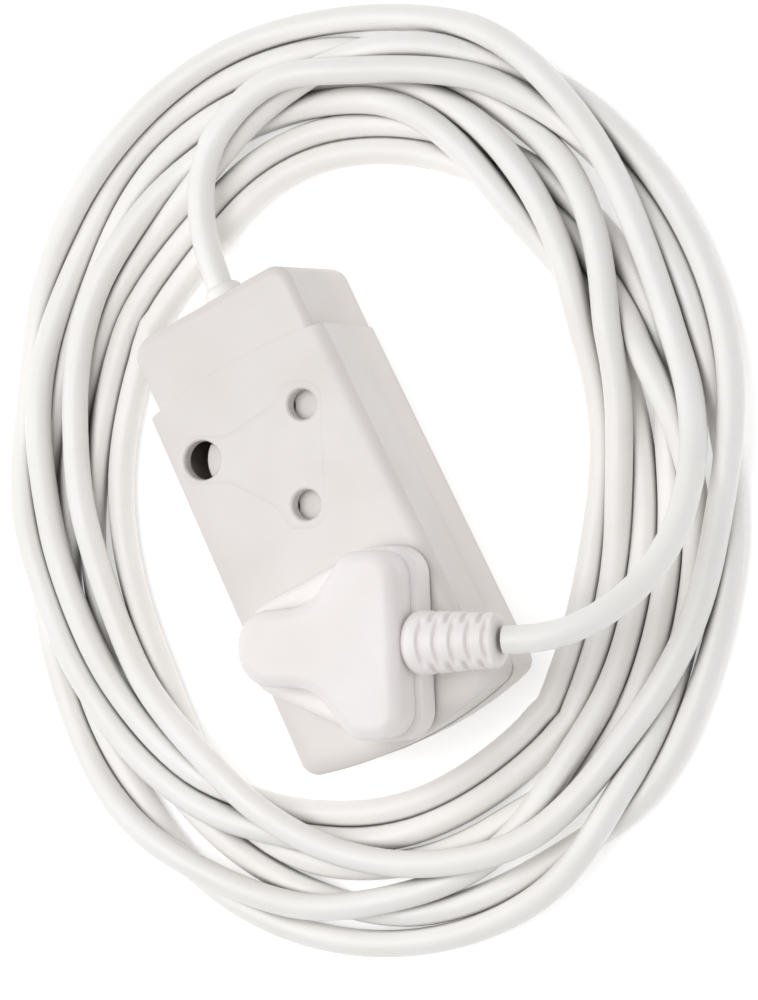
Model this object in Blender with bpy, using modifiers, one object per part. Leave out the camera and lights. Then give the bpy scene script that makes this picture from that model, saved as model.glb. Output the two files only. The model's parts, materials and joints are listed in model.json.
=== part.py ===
"""Two-way 16 A socket coupler on a coiled extension cord, with its three-pin plug in one socket.

Metres, +Z up. +Y runs along the coupler toward the cord entry, +Z out of the socket face, and the
origin is the bottom centre of the coupler. Sizes below are in millimetres and are scaled by MM.
"""
import math

import bmesh
import bpy
import numpy as np
from mathutils import Matrix, Vector

OBJECT_NAME = "two_way_extension_cord"
MM = 0.001
GAP = 0.3

# coupler housing
BODY_HALF_W = 27.0
LOWER_HALF_W = 28.7
CAP_HALF_W = 24.3
CAP_FOOT_HALF_W = 26.5
SEAM_Y = 40.3
CAP_END_Y = 60.2
CAP_CORNER_R = 5.0
CORNER_Y = -61.4
APEX_Y = -65.6
END_DRAFT = 3.4
SPLIT_Z = 15.0
COVER_Z0 = 15.3
FACE_Z = 34.0
CAP_TOP_Z = 32.6
WALL = 1.8
FLOOR = 2.2
PLATE = 3.4
PAD_H = 0.4
SHOULDER_R = 3.2
CORNER_R = 4.2

# screws and cord anchorage inside the housing
SCREW_SPOTS = ((21.2, 35.6), (-7.6, 34.6), (-21.2, -47.0), (20.9, -50.5))
POST_R = 2.9
SCREW_BORE_R = 1.8
SCREW_SINK_R = 2.5
SCREW_SINK_Z = 2.9
SCREW_TOP_Z = 22.5
POWER_RIB_Y = (31.0, -6.0, -38.0)
TONGUE_HALF_W = 15.0
TONGUE_END_Y = 53.0
TONGUE_Z = (2.6, 5.2)
SADDLE_HALF_W = 10.5
SADDLE_Y = (45.5, 52.5)
SADDLE_TOP_Z = 16.4
CLAMP_X = (-7.6, 7.6)
CLAMP_Y = 49.0
CLAMP_Z = (20.0, 23.4)
CAP_WALL = 2.0
CAP_SCREW_X = (-12.5, 12.5)
CAP_SCREW_Y = 43.0
CAP_SINK_Z = 1.5

# socket and pin pattern, 25.4 between the small pins and 28.575 to the earth pin
PIN_HALF_PITCH = 12.7
EARTH_REACH = 28.575
POWER_PIN_R = 3.525
EARTH_PIN_R = 4.35
POWER_PIN_LEN = 18.6
EARTH_PIN_LEN = 28.6
POWER_HOLE_R = 3.85
EARTH_HOLE_R = 5.0
SOCKET_X = 8.3
SOCKET_Y = (12.3, -40.7)
EARTH_ANGLE = math.atan2(PIN_HALF_PITCH, EARTH_REACH)

# contacts
POWER_BAR_Z = 9.0
EARTH_BAR_Z = 2.8
BAR_T = 0.8
BAR_HALF_W = 2.5
BAR_END_Y = 39.0
TERMINAL_Y = 36.0
POWER_SLEEVE_R = (3.83, 4.4)
EARTH_SLEEVE_R = (4.66, 5.1)
POWER_SLEEVE_TOP = 24.6
EARTH_SLEEVE_TOP = 19.4

# shutters
SHUTTER_TRAVEL = 7.4
SHUTTER_TOP = 29.6
SHUTTER_T = 1.6
WEDGE_TIP_Z = 20.6
WEDGE_OPEN_EDGE = -23.9
WEDGE_HALF_W = 3.4
WEDGE_BACK = 1.5
LOBE_R = 3.9
TAB_HALF_W = 4.2
CAGE_FRONT = 5.0
CAGE_EDGE = -9.8
CAGE_HALF_L = 17.0
CAGE_T = 1.2
SPRING_Z = 24.3
SPRING_R = 1.6
SPRING_WIRE_R = 0.22
SPRING_TURNS = 5

# plug, in local lengths along the cord direction (a) and along the small pins (b)
PLUG_SEAT_Z = FACE_Z + PAD_H + GAP
PLUG_STEP_Z = 43.5
PLUG_TOP_Z = 54.5
PLUG_FRONT = 11.6
BOOT_Z = 45.4
BOOT_START = 11.9
BOOT_END = 34.6
BOOT_R = (7.5, 6.5)
BOOT_RIBS = 5

# cord
CORD_R = 3.55
CORD_Z = 17.0
COIL_CENTRE = (12.7, 1.8)
COIL_SEMI = (84.0, 101.5)
COIL_TURN = math.radians(-26.7)
COIL_HALF_WIDTH = 18.0
COIL_HEIGHT = 14.6

LEAD_ROUTE = (
    (0.0, 50.0, 17.0), (0.0, 63.0, 17.0), (0.2, 74.0, 18.6), (2.6, 86.0, 21.0), (9.5, 96.5, 21.8),
    (19.0, 102.8, 20.6), (30.0, 106.0, 19.2), (42.0, 106.8, 18.6),
)
TAIL_ROUTE = (
    (40.2, -54.9, 45.4), (47.6, -58.0, 44.8), (55.4, -59.7, 42.6), (63.4, -59.4, 38.8),
    (71.1, -57.3, 34.2), (78.2, -53.5, 29.6), (84.3, -48.4, 25.4), (89.4, -42.3, 22.0),
    (93.6, -35.5, 19.6),
)

SLOTS = {
    "housing_white": ((0.80, 0.785, 0.76, 1.0), 0.0, 0.42),
    "shutter_white": ((0.86, 0.85, 0.83, 1.0), 0.0, 0.45),
    "plug_white": ((0.84, 0.82, 0.82, 1.0), 0.0, 0.5),
    "cord_white": ((0.84, 0.83, 0.82, 1.0), 0.0, 0.5),
    "contact_brass": ((0.78, 0.58, 0.28, 1.0), 1.0, 0.3),
    "screw_steel": ((0.62, 0.62, 0.63, 1.0), 1.0, 0.32),
    "live_brown": ((0.25, 0.10, 0.04, 1.0), 0.0, 0.5),
    "neutral_blue": ((0.05, 0.16, 0.55, 1.0), 0.0, 0.5),
    "earth_green": ((0.12, 0.42, 0.10, 1.0), 0.0, 0.5),
}


def clear_scene():
    for obj in list(bpy.data.objects):
        bpy.data.objects.remove(obj, do_unlink=True)


def new_collection(name):
    coll = bpy.data.collections.new(name)
    bpy.context.scene.collection.children.link(coll)
    return coll


def make_material(name, slot):
    color, metallic, roughness = SLOTS[slot]
    mat = bpy.data.materials.new(slot + "__" + name)
    mat.use_nodes = True
    shader = mat.node_tree.nodes["Principled BSDF"]
    shader.inputs["Base Color"].default_value = color
    shader.inputs["Metallic"].default_value = metallic
    shader.inputs["Roughness"].default_value = roughness
    mat.diffuse_color = color
    return mat


def link_part(obj, slot):
    PARTS.objects.link(obj)
    obj.data.materials.append(make_material(obj.name, slot))
    return obj


def hide_cutter(obj):
    CUTTERS.objects.link(obj)
    obj.hide_render = True
    obj.display_type = "WIRE"
    return obj


def bmesh_object(name, bm):
    mesh = bpy.data.meshes.new(name)
    bm.to_mesh(mesh)
    bm.free()
    return bpy.data.objects.new(name, mesh)


def rounded(corners, steps=3):
    """Outline through (x, y, radius) corners, each turned into a short arc."""
    path = []
    count = len(corners)
    for i, (x, y, radius) in enumerate(corners):
        here = Vector((x, y))
        back = (Vector(corners[i - 1][:2]) - here).normalized()
        ahead = (Vector(corners[(i + 1) % count][:2]) - here).normalized()
        if radius <= 0:
            path.append((x, y))
            continue
        half = math.acos(max(-1.0, min(1.0, back.dot(ahead)))) / 2
        reach = radius / math.tan(half)
        centre = here + (back + ahead).normalized() * (radius / math.sin(half))
        first = here + back * reach - centre
        last = here + ahead * reach - centre
        sweep = math.atan2(first.x * last.y - first.y * last.x, first.dot(last))
        for k in range(steps + 1):
            turn = Matrix.Rotation(sweep * k / steps, 2)
            path.append(tuple(centre + turn @ first))
    return path


def prism(name, outline, z0, z1):
    """Flat outline extruded from z0 to z1, with one n-gon on each end."""
    curve = bpy.data.curves.new(name, "CURVE")
    curve.dimensions = "2D"
    curve.fill_mode = "BOTH"
    curve.extrude = (z1 - z0) / 2 * MM
    spline = curve.splines.new("POLY")
    spline.points.add(len(outline) - 1)
    spline.use_cyclic_u = True
    for point, (x, y) in zip(spline.points, outline):
        point.co = (x * MM, y * MM, 0.0, 1.0)
    guide = bpy.data.objects.new(name + "_outline", curve)
    bpy.context.scene.collection.objects.link(guide)
    depsgraph = bpy.context.evaluated_depsgraph_get()
    mesh = bpy.data.meshes.new_from_object(guide.evaluated_get(depsgraph))
    bpy.data.objects.remove(guide, do_unlink=True)
    mesh.transform(Matrix.Translation((0, 0, (z0 + z1) / 2 * MM)))
    bm = bmesh.new()
    bm.from_mesh(mesh)
    bmesh.ops.remove_doubles(bm, verts=bm.verts, dist=1e-6)
    bmesh.ops.dissolve_limit(bm, angle_limit=0.005, verts=bm.verts, edges=bm.edges)
    bmesh.ops.recalc_face_normals(bm, faces=bm.faces)
    return bmesh_object(name, bm)


def round_rim(obj, z, width, segments=3):
    """Bevel the flat rim of a prism at height z."""
    mesh = obj.data
    weights = mesh.attributes.new("bevel_weight_edge", "FLOAT", "EDGE")
    for edge in mesh.edges:
        level = [mesh.vertices[v].co.z for v in edge.vertices]
        on_rim = all(abs(height - z * MM) < 1e-6 for height in level)
        weights.data[edge.index].value = 1.0 if on_rim else 0.0
    bevel = obj.modifiers.new("rim", "BEVEL")
    bevel.width = width * MM
    bevel.segments = segments
    bevel.limit_method = "WEIGHT"
    bevel.use_clamp_overlap = False
    return obj


def box(name, low, high):
    bm = bmesh.new()
    size = [(h - l) * MM for l, h in zip(low, high)]
    middle = [(h + l) / 2 * MM for l, h in zip(low, high)]
    place_it = Matrix.Translation(middle) @ Matrix.Diagonal((*size, 1.0))
    bmesh.ops.create_cube(bm, size=1.0, matrix=place_it)
    return bmesh_object(name, bm)


def cylinder(name, x, y, z0, z1, radius, sides=20):
    bm = bmesh.new()
    stand = Matrix.Translation((x * MM, y * MM, (z0 + z1) / 2 * MM))
    bmesh.ops.create_cone(bm, cap_ends=True, segments=sides, radius1=radius * MM,
                          radius2=radius * MM, depth=(z1 - z0) * MM, matrix=stand)
    return bmesh_object(name, bm)


def boolean(obj, other, operation):
    step = obj.modifiers.new(other.name, "BOOLEAN")
    step.operation = operation
    step.solver = "EXACT"
    step.object = other


def cut(obj, *tools):
    for tool in tools:
        boolean(obj, hide_cutter(tool), "DIFFERENCE")


def join(obj, *tools):
    for tool in tools:
        boolean(obj, hide_cutter(tool), "UNION")


def shade(obj, degrees=35):
    obj.data.shade_smooth()
    obj.data.set_sharp_from_angle(angle=math.radians(degrees))


def turned(name, profile, steps=24):
    """Solid of revolution about Z from (radius, z) pairs read top to bottom."""
    verts = [(r * MM, 0.0, z * MM) for r, z in profile]
    edges = [(i, i + 1) for i in range(len(verts) - 1)]
    mesh = bpy.data.meshes.new(name)
    mesh.from_pydata(verts, edges, [])
    obj = bpy.data.objects.new(name, mesh)
    screw = obj.modifiers.new("turn", "SCREW")
    screw.axis = "Z"
    screw.steps = steps
    screw.render_steps = steps
    screw.use_merge_vertices = True
    screw.merge_threshold = 1e-5
    screw.use_smooth_shade = True
    return obj


def tube(name, slot, points, radius, sides=2):
    """Round cord or wire along points given in millimetres."""
    curve = bpy.data.curves.new(name, "CURVE")
    curve.dimensions = "3D"
    curve.bevel_depth = radius * MM
    curve.bevel_resolution = sides
    curve.use_fill_caps = True
    spline = curve.splines.new("POLY")
    spline.points.add(len(points) - 1)
    for point, co in zip(spline.points, points):
        point.co = (co[0] * MM, co[1] * MM, co[2] * MM, 1.0)
    return link_part(bpy.data.objects.new(name, curve), slot)


def smooth_route(points, spacing):
    """Points every `spacing` along a smooth curve through the given route points."""
    pts = np.array(points, float)
    ends = np.vstack([2 * pts[0] - pts[1], pts, 2 * pts[-1] - pts[-2]])
    dense = []
    for i in range(1, len(ends) - 2):
        for t in np.linspace(0, 1, 24, endpoint=False):
            a, b, c, d = ends[i - 1:i + 3]
            dense.append(0.5 * (2 * b + (c - a) * t + (2 * a - 5 * b + 4 * c - d) * t * t
                                + (3 * b - a - 3 * c + d) * t ** 3))
    dense.append(pts[-1])
    dense = np.array(dense)
    along = np.concatenate([[0], np.cumsum(np.linalg.norm(np.diff(dense, axis=0), axis=1))])
    count = max(2, int(round(along[-1] / spacing)) + 1)
    marks = np.linspace(0, along[-1], count)
    return [tuple(np.interp(m, along, dense[:, k]) for k in range(3)) for m in marks]


def socket_point(socket, a, b):
    """Frame X, Y of a point a along the plug's cord direction and b along its small pins."""
    x = SOCKET_X + a * math.cos(EARTH_ANGLE) + b * math.sin(EARTH_ANGLE)
    y = SOCKET_Y[socket] - a * math.sin(EARTH_ANGLE) + b * math.cos(EARTH_ANGLE)
    return x, y


def place(outline, socket):
    return [socket_point(socket, a, b) for a, b in outline]


def pin_centres(socket):
    return {
        "live": socket_point(socket, 0, PIN_HALF_PITCH),
        "neutral": socket_point(socket, 0, -PIN_HALF_PITCH),
        "earth": socket_point(socket, -EARTH_REACH, 0),
    }


def body_outline(inset):
    """Plan of the main housing at the face: sides that widen downward and a bowed lower end."""
    half = LOWER_HALF_W - inset
    top = SEAM_Y + 5.0
    top_half = BODY_HALF_W - inset
    bow = APEX_Y + inset
    corner = CORNER_Y + inset
    sag = corner - bow
    radius = (half * half + sag * sag) / (2 * sag)
    corners = [(top_half, top, 0), (-top_half, top, 0)]
    for k in range(9):
        x = -half + 2 * half * k / 8
        y = bow + radius - math.sqrt(radius * radius - x * x)
        corners.append((x, y, max(CORNER_R - inset, 1.0) if k in (0, 8) else 0))
    return rounded(corners)


def body_block(name, inset, z0, z1):
    """Prism of the housing's plan, its lower end drafted inward toward the floor."""
    block = prism(name, body_outline(inset), z0, z1)
    draft = Matrix.Shear("XY", 4, (0.0, -END_DRAFT / FACE_Z))
    block.data.transform(Matrix.Translation((0, END_DRAFT * MM, 0)) @ draft)
    return block


def square_end(name):
    """Cutter beyond the seam, where the cord end cap takes over."""
    return box(name, (-40, SEAM_Y, -5), (40, SEAM_Y + 20, FACE_Z + 5))


def build_base():
    base = body_block("base_shell", 0, 0, SPLIT_Z)
    cut(base, square_end("base_end"))
    cut(base, body_block("base_room", WALL, FLOOR, SPLIT_Z + 2))
    low, high = TONGUE_Z
    half = TONGUE_HALF_W
    join(base, box("tongue", (-half, SEAM_Y - 4.3, low), (half, TONGUE_END_Y, high)))
    join(base, box("tongue_root", (1 - half, SEAM_Y - 3.6, 1.0), (half - 1, SEAM_Y - 0.6, high - 0.8)))
    join(base, box("saddle", (-SADDLE_HALF_W, SADDLE_Y[0], high - 0.2),
                   (SADDLE_HALF_W, SADDLE_Y[1], SADDLE_TOP_Z)))
    cut(base, cylinder_y("cord_groove", 0, CORD_Z, SADDLE_Y[0] - 1, SADDLE_Y[1] + 1, CORD_R + GAP))
    for k, (x, y) in enumerate(SCREW_SPOTS):
        join(base, cylinder("base_post%d" % k, x, y, 1.5, SPLIT_Z, POST_R, 16))
    for k, y in enumerate(POWER_RIB_Y):
        join(base, box("power_rib%d" % k, (-1.0, y, 1.5), (17.0, y + 2.0, POWER_BAR_Z - GAP)))
    for k, (x, y) in enumerate(SCREW_SPOTS):
        cut(base, cylinder("base_bore%d" % k, x, y, -1, SPLIT_Z + 1, SCREW_BORE_R, 16))
        cut(base, cylinder("base_sink%d" % k, x, y, -1.2, SCREW_SINK_Z, SCREW_SINK_R, 18))
    for k in (0, 1):
        cut(base, cylinder("clamp_bore%d" % k, CLAMP_X[k], CLAMP_Y, 6.5, SADDLE_TOP_Z + 1, 1.3, 12))
        cut(base, cylinder("tongue_bore%d" % k, CAP_SCREW_X[k], CAP_SCREW_Y, low - 1, high + 1, 1.3, 12))
    link_part(base, "housing_white")
    shade(base)


def build_cover():
    cover = body_block("socket_cover", 0, COVER_Z0, FACE_Z)
    cut(cover, square_end("cover_end"))
    round_rim(cover, FACE_Z, SHOULDER_R, 4)
    cut(cover, body_block("cover_room", WALL, COVER_Z0 - 2, FACE_Z - PLATE))
    for socket in (0, 1):
        pad = prism("pad%d" % socket, place(PAD_OUTLINE, socket), FACE_Z - 1, FACE_Z + PAD_H)
        join(cover, pad)
    for k, (x, y) in enumerate(SCREW_SPOTS):
        join(cover, cylinder("cover_post%d" % k, x, y, COVER_Z0, FACE_Z - 2, POST_R, 16))
        cut(cover, cylinder("cover_bore%d" % k, x, y, COVER_Z0 - 1, SCREW_TOP_Z + 1, SCREW_BORE_R, 16))
    for socket in (0, 1):
        for pole, (x, y) in pin_centres(socket).items():
            radius = EARTH_HOLE_R if pole == "earth" else POWER_HOLE_R
            hole = cylinder("hole_%s%d" % (pole, socket), x, y, FACE_Z - 6, FACE_Z + 3, radius, 24)
            cut(cover, hole)
    link_part(cover, "housing_white")
    shade(cover)


def cylinder_y(name, x, z, y0, y1, radius, sides=20):
    """Cylinder lying along Y."""
    obj = cylinder(name, 0, 0, y0, y1, radius, sides)
    obj.data.transform(Matrix.Rotation(math.radians(-90), 4, "X"))
    obj.data.transform(Matrix.Translation((x * MM, 0, z * MM)))
    return obj


def widen_foot(obj, top_half, foot_half):
    """Leans both side walls out toward the floor."""
    for vertex in obj.data.vertices:
        share = 1 - vertex.co.z / (CAP_TOP_Z * MM)
        vertex.co.x *= 1 + share * (foot_half / top_half - 1)
    return obj


def build_cap():
    y0 = SEAM_Y + GAP
    w = CAP_HALF_W
    outline = rounded([(w, y0, 0), (w, CAP_END_Y, CAP_CORNER_R), (-w, CAP_END_Y, CAP_CORNER_R), (-w, y0, 0)])
    cap = widen_foot(prism("cord_end_cap", outline, 0, CAP_TOP_Z), w, CAP_FOOT_HALF_W)
    round_rim(cap, CAP_TOP_Z, 2.0, 3)
    cut(cap, box("cap_room", (CAP_WALL - w, y0 - 2, FLOOR),
                 (w - CAP_WALL, CAP_END_Y - CAP_WALL, CAP_TOP_Z - CAP_WALL)))
    cut(cap, cylinder_y("cap_hole", 0, CORD_Z, CAP_END_Y - 4, CAP_END_Y + 2, 4.9))
    for k in (0, 1):
        x = CAP_SCREW_X[k]
        cut(cap, cylinder("cap_bore%d" % k, x, CAP_SCREW_Y, -1, FLOOR + 1, 1.4, 12))
        cut(cap, cylinder("cap_sink%d" % k, x, CAP_SCREW_Y, -1.2, CAP_SINK_Z, SCREW_SINK_R, 18))
        build_screw("cap_screw_%d" % (k + 1), x, CAP_SCREW_Y, 0.2, TONGUE_Z[1] - 0.2, 1.0, 2.2, 1.0, True)
    link_part(cap, "housing_white")
    shade(cap)


def build_grommet():
    outer = 5.9
    neck = 4.6
    bore = CORD_R + GAP
    out = -APEX_Y
    profile = [(bore, out), (outer - 0.8, out), (outer, out - 0.8), (outer, CAP_END_Y + GAP),
               (neck, CAP_END_Y + GAP), (neck, CAP_END_Y - 3.6), (bore, CAP_END_Y - 3.6), (bore, out)]
    ring = turned("cord_grommet", profile, 28)
    ring.matrix_world = Matrix.Translation((0, 0, CORD_Z * MM)) @ Matrix.Rotation(-math.pi / 2, 4, "X")
    link_part(ring, "cord_white")


def build_screw(name, x, y, z_low, z_high, shank_r, head_r, head_t, head_down):
    """Upright screw whose head is at its lower end when head_down is true."""
    z_a = z_low + head_t if head_down else z_high - head_t
    if head_down:
        profile = [(0, z_high), (shank_r, z_high), (shank_r, z_a), (head_r, z_a), (head_r, z_low + 0.3),
                   (head_r - 0.3, z_low), (0, z_low)]
    else:
        profile = [(0, z_high), (head_r - 0.3, z_high), (head_r, z_high - 0.3), (head_r, z_a),
                   (shank_r, z_a), (shank_r, z_low), (0, z_low)]
    screw = turned(name, profile, 16)
    screw.location = (x * MM, y * MM, 0)
    link_part(screw, "screw_steel")
    return screw


def build_contacts():
    for pole in ("live", "neutral", "earth"):
        spots = [pin_centres(socket)[pole] for socket in (0, 1)]
        x = spots[0][0]
        z = EARTH_BAR_Z if pole == "earth" else POWER_BAR_Z
        low_y = spots[1][1] - BAR_HALF_W
        bar = box(pole + "_bar", (x - BAR_HALF_W, low_y, z), (x + BAR_HALF_W, BAR_END_Y, z + BAR_T))
        cut(bar, cylinder(pole + "_tap", x, TERMINAL_Y, z - 1, z + 2, 1.5, 12))
        link_part(bar, "contact_brass")
        bore, outer = EARTH_SLEEVE_R if pole == "earth" else POWER_SLEEVE_R
        top = EARTH_SLEEVE_TOP if pole == "earth" else POWER_SLEEVE_TOP
        foot = z + BAR_T + GAP
        profile = [(0, foot + 0.8), (bore, foot + 0.8), (bore, top), (outer, top), (outer, foot),
                   (0, foot)]
        for socket in (0, 1):
            sleeve = turned("%s_sleeve_%d" % (pole, socket + 1), profile, 24)
            sleeve.location = (spots[socket][0] * MM, spots[socket][1] * MM, 0)
            link_part(sleeve, "contact_brass")
        build_screw(pole + "_terminal_screw", x, TERMINAL_Y, z - GAP, z + 3.6, 1.2, 2.6, 2.2, False)


def shutter_outline():
    """Half-round lobes over the two small holes, waisted to a tab at the earth hole."""
    lobe = LOBE_R
    right = PIN_HALF_PITCH + lobe
    tab = TAB_HALF_W
    return rounded([
        (lobe, -right, lobe - 0.1), (lobe, -4.0, 1.0), (2.0, 0.0, 0), (lobe, 4.0, 1.0),
        (lobe, right, lobe - 0.1), (-12.5, right, 2.0), (-15.0, tab, 2.0), (WEDGE_OPEN_EDGE, tab, 0),
        (WEDGE_OPEN_EDGE, -tab, 0), (-15.0, -tab, 2.0), (-12.5, -right, 2.0),
    ], 4)


def build_shutter(socket, slide):
    """Sliding plate: slide 0 is closed, slide SHUTTER_TRAVEL is pushed open by an earth pin."""
    number = socket + 1
    edge = WEDGE_OPEN_EDGE - SHUTTER_TRAVEL + slide
    outline = [(a + slide, b) for a, b in shutter_outline()]
    plate = prism("shutter_%d" % number, place(outline, socket), SHUTTER_TOP - SHUTTER_T, SHUTTER_TOP)
    back = edge + SHUTTER_TRAVEL + WEDGE_BACK
    side_view = [(edge, WEDGE_TIP_Z), (back, WEDGE_TIP_Z), (back, SHUTTER_TOP - 0.4),
                 (back - WEDGE_BACK, SHUTTER_TOP - 0.4)]
    wedge = prism("wedge%d" % number, side_view, -WEDGE_HALF_W, WEDGE_HALF_W)
    wedge.data.transform(Matrix.Rotation(math.radians(90), 4, "X"))
    wedge.data.transform(Matrix.Rotation(-EARTH_ANGLE, 4, "Z"))
    wedge.data.transform(Matrix.Translation((SOCKET_X * MM, SOCKET_Y[socket] * MM, 0)))
    join(plate, wedge)
    for side in (-1, 1):
        x, y = socket_point(socket, slide - SHUTTER_TRAVEL, side * PIN_HALF_PITCH)
        window = cylinder("window%d_%d" % (number, side), x, y, SHUTTER_TOP - 4, SHUTTER_TOP + 2, 3.75, 20)
        cut(plate, window)
    link_part(plate, "shutter_white")
    shade(plate)
    plate_x, plate_y = socket_point(socket, slide, 0)
    move_origin(plate, (plate_x * MM, plate_y * MM, SHUTTER_TOP * MM))


def move_origin(obj, origin):
    obj.data.transform(Matrix.Translation(-Vector(origin)))
    obj.location = origin


def build_cage(socket):
    """Fixed plate under the shutter, with the lug that backs its spring."""
    number = socket + 1
    top = SHUTTER_TOP - SHUTTER_T - GAP
    half = CAGE_HALF_L
    outline = rounded([(CAGE_FRONT, -half, 3), (CAGE_FRONT, half, 3), (CAGE_EDGE, half, 3),
                       (CAGE_EDGE, -half, 3)])
    cage = prism("shutter_cage_%d" % number, place(outline, socket), top - CAGE_T, top)
    lug_end = CAGE_EDGE + CAGE_T
    lug_outline = [(CAGE_EDGE, -3), (lug_end, -3), (lug_end, 3), (CAGE_EDGE, 3)]
    lug = prism("lug%d" % number, place(lug_outline, socket), 21.0, top - CAGE_T / 2)
    join(cage, lug)
    for side in (-1, 1):
        x, y = socket_point(socket, 0, side * PIN_HALF_PITCH)
        cut(cage, cylinder("cage_hole%d_%d" % (number, side), x, y, top - 3, top + 2, 3.9, 20))
    link_part(cage, "shutter_white")
    shade(cage)


def build_spring(socket, slide):
    number = socket + 1
    wire = SPRING_WIRE_R
    start = WEDGE_OPEN_EDGE + WEDGE_BACK + slide + GAP + wire
    end = CAGE_EDGE - GAP - wire
    steps = 9
    total = SPRING_TURNS * steps
    points = []
    for k in range(total + 1):
        t = 2 * math.pi * k / steps
        x, y = socket_point(socket, start + (end - start) * k / total, SPRING_R * math.cos(t))
        points.append((x, y, SPRING_Z + SPRING_R * math.sin(t)))
    tube("shutter_spring_%d" % number, "screw_steel", points, wire, 1)


def build_wires():
    start = {"live": (1.9, 18.2), "neutral": (0.0, 15.0), "earth": (-1.9, 18.2)}
    slots = {"live": "live_brown", "neutral": "neutral_blue", "earth": "earth_green"}
    for pole, (x0, z0) in start.items():
        x1 = pin_centres(0)[pole][0]
        z1 = (EARTH_BAR_Z if pole == "earth" else POWER_BAR_Z) + BAR_T + GAP + 1.1
        route = [(x0, 46.4, z0), (x0, 44.6, z0), ((x0 + x1) / 2, 42.6, (z0 + z1) / 2 + 1.0),
                 (x1, 41.0, z1 + 1.2), (x1, 38.95, z1)]
        tube(pole + "_wire", slots[pole], smooth_route(route, 1.6), 1.1, 1)


def build_clamp():
    low, high = CLAMP_Z
    half = SADDLE_HALF_W
    bar = box("cord_clamp", (-half, CLAMP_Y - 2.5, low), (half, CLAMP_Y + 2.5, high))
    cut(bar, cylinder_y("clamp_groove", 0, CORD_Z, CLAMP_Y - 5, CLAMP_Y + 5, CORD_R + GAP))
    for k in (0, 1):
        cut(bar, cylinder("clamp_hole%d" % k, CLAMP_X[k], CLAMP_Y, low - 2, high + 2, 1.5, 12))
    link_part(bar, "housing_white")
    for k in (0, 1):
        name = "clamp_screw_%d" % (k + 1)
        build_screw(name, CLAMP_X[k], CLAMP_Y, 9.0, high + 2.2, 1.0, 2.2, 1.9, False)


def build_housing_screws():
    for k, (x, y) in enumerate(SCREW_SPOTS):
        build_screw("case_screw_%d" % (k + 1), x, y, 0.5, SCREW_TOP_Z, 1.4, 2.2, 2.1, True)


def build_plug():
    step = prism("plug_base", place(PLUG_BASE_OUTLINE, 1), PLUG_SEAT_Z, PLUG_STEP_Z)
    round_rim(step, PLUG_STEP_Z, 1.2, 2)
    top = prism("plug_cover", place(PLUG_TOP_OUTLINE, 1), PLUG_STEP_Z + GAP, PLUG_TOP_Z)
    round_rim(top, PLUG_TOP_Z, 2.6, 3)
    for pole, (x, y) in pin_centres(1).items():
        earth = pole == "earth"
        radius = EARTH_PIN_R if earth else POWER_PIN_R
        length = EARTH_PIN_LEN if earth else POWER_PIN_LEN
        tip = PLUG_SEAT_Z - length
        root = PLUG_SEAT_Z + 6.5
        cut(step, cylinder("pin_bore_" + pole, x, y, PLUG_SEAT_Z - 2, root + GAP, radius + GAP, 24))
        profile = [(0, root), (radius, root), (radius, tip + 1.6), (radius - 1.4, tip), (0, tip)]
        pin = turned("plug_%s_pin" % pole, profile, 24)
        pin.location = (x * MM, y * MM, 0)
        link_part(pin, "contact_brass")
    for part in (step, top):
        link_part(part, "plug_white")
        shade(part)
        origin = socket_point(1, 0, 0)
        move_origin(part, (origin[0] * MM, origin[1] * MM, PLUG_SEAT_Z * MM))


def build_boot():
    length = BOOT_END - BOOT_START
    pitch = length / (BOOT_RIBS + 0.5)
    profile = [(0, BOOT_END), (BOOT_R[1] - 0.5, BOOT_END)]
    for k in range(BOOT_RIBS):
        far = BOOT_END - k * pitch
        radius = BOOT_R[1] + (BOOT_R[0] - BOOT_R[1]) * k / BOOT_RIBS
        groove = radius - 1.5
        profile += [(radius, far - 0.4), (radius, far - 0.62 * pitch), (groove, far - 0.72 * pitch),
                    (groove, far - 0.95 * pitch)]
    profile += [(BOOT_R[0], BOOT_END - BOOT_RIBS * pitch), (BOOT_R[0], BOOT_START), (0, BOOT_START)]
    boot = turned("plug_boot", profile, 20)
    x, y = socket_point(1, 0, 0)
    turn = Matrix.Rotation(-EARTH_ANGLE, 4, "Z") @ Matrix.Rotation(math.pi / 2, 4, "Y")
    boot.matrix_world = Matrix.Translation((x * MM, y * MM, BOOT_Z * MM)) @ turn
    link_part(boot, "plug_white")


def build_coil():
    """Closed outer shape of the coiled stretch, a flat-bottomed ring stretched to an oval."""
    mean = COIL_SEMI[0]
    half = COIL_HALF_WIDTH
    low = GAP
    profile = [(mean - half + 4.5, COIL_HEIGHT), (mean + half - 4.5, COIL_HEIGHT),
               (mean + half, COIL_HEIGHT - 5.5), (mean + half, 5.0), (mean + half - 2.5, low),
               (mean - half + 2.5, low), (mean - half, 5.0), (mean - half, COIL_HEIGHT - 5.5),
               (mean - half + 4.5, COIL_HEIGHT)]
    ring = turned("cord_coil", profile, 64)
    stretch = Matrix.Diagonal((1.0, COIL_SEMI[1] / COIL_SEMI[0], 1.0, 1.0))
    centre = Matrix.Translation((COIL_CENTRE[0] * MM, COIL_CENTRE[1] * MM, 0))
    ring.matrix_world = centre @ Matrix.Rotation(COIL_TURN, 4, "Z") @ stretch
    link_part(ring, "cord_white")


def build_cord():
    build_coil()
    tube("cord_lead", "cord_white", smooth_route(LEAD_ROUTE, 7.0), CORD_R, 3)
    tube("cord_tail", "cord_white", smooth_route(TAIL_ROUTE, 7.0), CORD_R, 3)


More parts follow.
